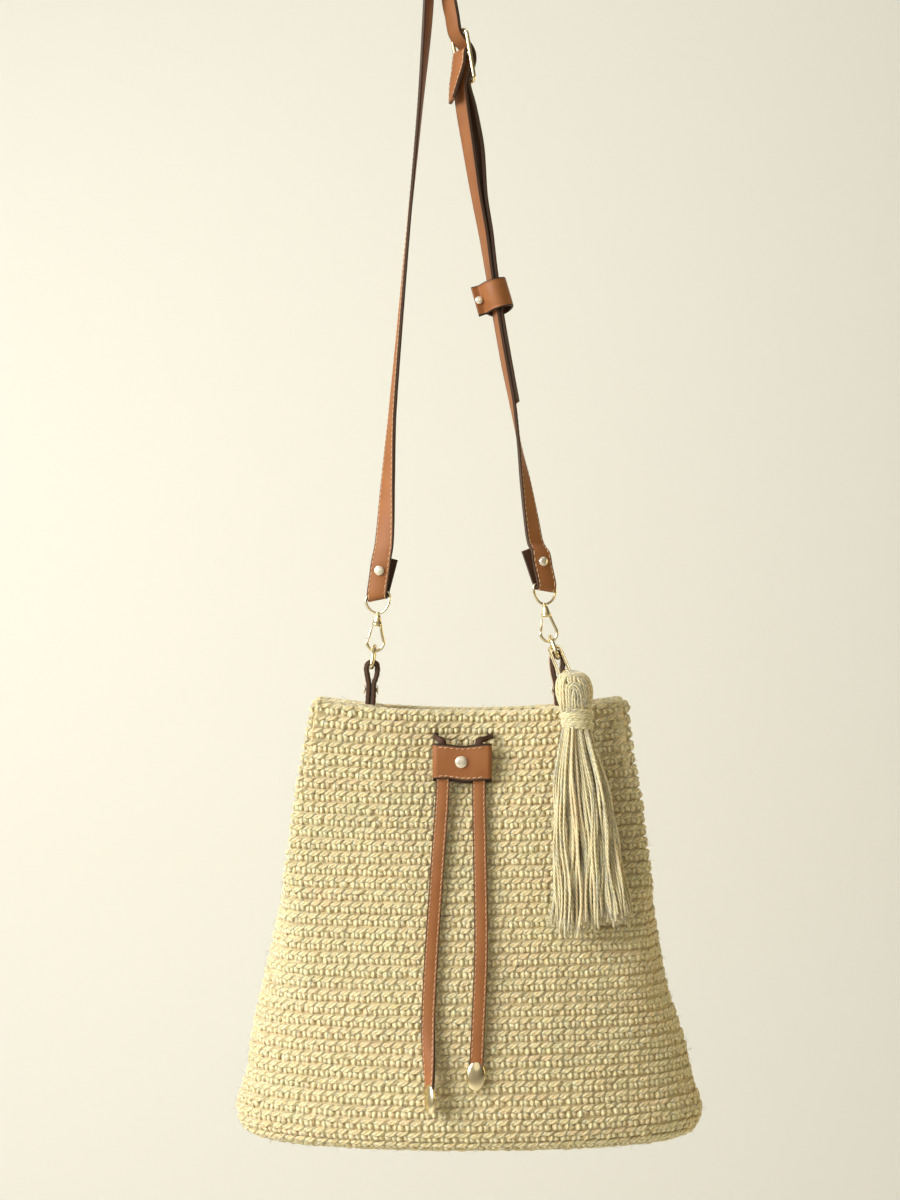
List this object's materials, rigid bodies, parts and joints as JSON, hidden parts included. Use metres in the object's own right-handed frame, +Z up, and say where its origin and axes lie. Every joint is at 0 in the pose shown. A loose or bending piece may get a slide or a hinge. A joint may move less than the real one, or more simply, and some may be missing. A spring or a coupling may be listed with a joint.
{
  "type": "crochet bag",
  "caption": "Bell-shaped crocheted jute shoulder bag with drawn-in mouth, hanging by an adjustable leather strap on swivel hooks, with a drawstring lace and a tassel.",
  "frame": {"origin": "under the bend of the strap, where a peg or a hand carries the hanging bag", "axes": "+Z up, +X to the right as seen from the front, -Y towards the viewer of the front"},
  "size_m": [0.3503, 0.1335, 0.9017],
  "materials": {
    "jute": "coarse crocheted jute yarn",
    "leather": "smooth tan leather with dark edges",
    "gold_metal": "polished pale gold"
  },
  "bodies": {
    "bag": {"bag_body": "jute", "tassel": "jute", "drawstring_lace": "leather", "slider_band": "leather", "left_tab": "leather", "right_tab": "leather", "long_strap": "leather", "short_strap": "leather", "strap_keeper": "leather", "lace_left_tip": "gold_metal", "lace_right_tip": "gold_metal", "slider_rivet": "gold_metal", "left_strap_rivet": "gold_metal", "right_strap_rivet": "gold_metal", "buckle_frame": "gold_metal", "keeper_rivet": "gold_metal", "left_hook_eye": "gold_metal", "left_tab_ring": "gold_metal", "left_tab_rivet": "gold_metal", "right_hook_eye": "gold_metal", "right_tab_ring": "gold_metal", "right_tab_rivet": "gold_metal", "tassel_clasp": "gold_metal", "tassel_ring": "gold_metal"},
    "left_hook_body": {"left_hook": "gold_metal"},
    "left_gate_body": {"left_gate": "gold_metal"},
    "right_hook_body": {"right_hook": "gold_metal"},
    "right_gate_body": {"right_gate": "gold_metal"}
  },
  "joints": [
    {"name": "left_hook_swivel", "type": "hinge", "parent": "bag", "child": "left_hook_body", "pos_m": [-0.0436, 0, -0.5102], "axis": [0.0872, 0, 0.9962], "range_deg": [-30, 30]},
    {"name": "left_gate_hinge", "type": "hinge", "parent": "left_hook_body", "child": "left_gate_body", "pos_m": [-0.04833, 0, -0.51947], "axis": [0, -1, 0], "range_deg": [0, 35], "stiffness_Nm_per_rad": 0.004, "springref_deg": -34.38},
    {"name": "right_hook_swivel", "type": "hinge", "parent": "bag", "child": "right_hook_body", "pos_m": [0.0815, 0, -0.5034], "axis": [-0.1564, 0, 0.9877], "range_deg": [-30, 30]},
    {"name": "right_gate_hinge", "type": "hinge", "parent": "right_hook_body", "child": "right_gate_body", "pos_m": [0.07916, 0, -0.51354], "axis": [0, -1, 0], "range_deg": [0, 35], "stiffness_Nm_per_rad": 0.004, "springref_deg": -34.38}
  ]
}
